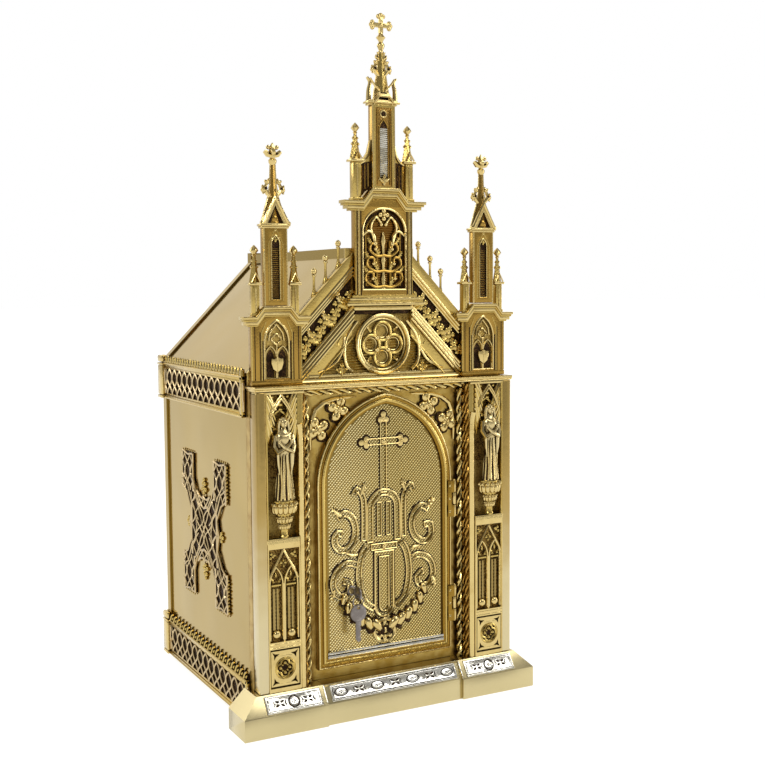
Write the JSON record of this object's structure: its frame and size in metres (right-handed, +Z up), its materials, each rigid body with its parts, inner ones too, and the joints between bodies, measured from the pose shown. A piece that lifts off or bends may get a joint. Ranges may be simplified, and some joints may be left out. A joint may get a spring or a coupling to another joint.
{
  "type": "altar tabernacle",
  "caption": "Gothic altar tabernacle of polished brass: a hollow gabled box on a plinth, with a hinged arched door, niche figures, pierced galleries and a pinnacled front.",
  "frame": {"origin": "middle of the bounding box's underside, on the surface that the plinth stands on", "axes": "+Z up, -Y out of the door, +X to the right of someone who faces the door"},
  "size_m": [0.39, 0.3506, 0.8229],
  "materials": {
    "cast_brass": "polished castings with dark brown patina left in the hollows",
    "sheet_brass": "mirror-polished pale sheet with faint ripples",
    "door_brass": "polished relief over a hatched ground",
    "amber_brass": "stippled amber-gold lacquered ground",
    "key_steel": "worn grey nickel-plated key blanks"
  },
  "bodies": {
    "tabernacle": {"plinth": "sheet_brass", "floor": "sheet_brass", "side_panel_left": "sheet_brass", "side_panel_right": "sheet_brass", "roof_left": "sheet_brass", "roof_right": "sheet_brass", "roof_cap": "sheet_brass", "back_panel": "sheet_brass", "gallery_lower_left": "cast_brass", "gallery_lower_right": "cast_brass", "gallery_lower_rear": "cast_brass", "gallery_upper_left": "cast_brass", "gallery_upper_right": "cast_brass", "gallery_upper_rear": "cast_brass", "side_cross_left": "cast_brass", "side_cross_right": "cast_brass", "front_frame": "amber_brass", "facade_strip": "cast_brass", "pilaster_left": "cast_brass", "pilaster_right": "cast_brass", "statue_left": "cast_brass", "statue_right": "cast_brass", "rope_left": "cast_brass", "rope_right": "cast_brass", "rope_top": "cast_brass", "vine_left": "cast_brass", "vine_right": "cast_brass", "hinge_frame_lower": "cast_brass", "hinge_frame_upper": "cast_brass", "gable": "cast_brass", "tower_left": "cast_brass", "tower_right": "cast_brass", "spire_left": "cast_brass", "spire_right": "cast_brass", "pinnacle_left_inner": "cast_brass", "pinnacle_left_outer": "cast_brass", "pinnacle_right_inner": "cast_brass", "pinnacle_right_outer": "cast_brass", "centre_tower": "cast_brass", "centre_spire": "cast_brass", "pinnacle_centre_left": "cast_brass", "pinnacle_centre_right": "cast_brass", "cross_finial": "cast_brass"},
    "door": {"door_leaf": "door_brass", "hinge_door_lower": "cast_brass", "hinge_door_upper": "cast_brass", "lock_plug": "key_steel", "key_in_lock": "key_steel", "key_ring": "key_steel", "spare_key": "key_steel"}
  },
  "joints": [
    {"name": "door_hinge", "type": "hinge", "parent": "tabernacle", "child": "door", "pos_m": [0.0945, -0.14825, 0.18], "axis": [0, 0, 1], "range_deg": [0, 110]}
  ]
}
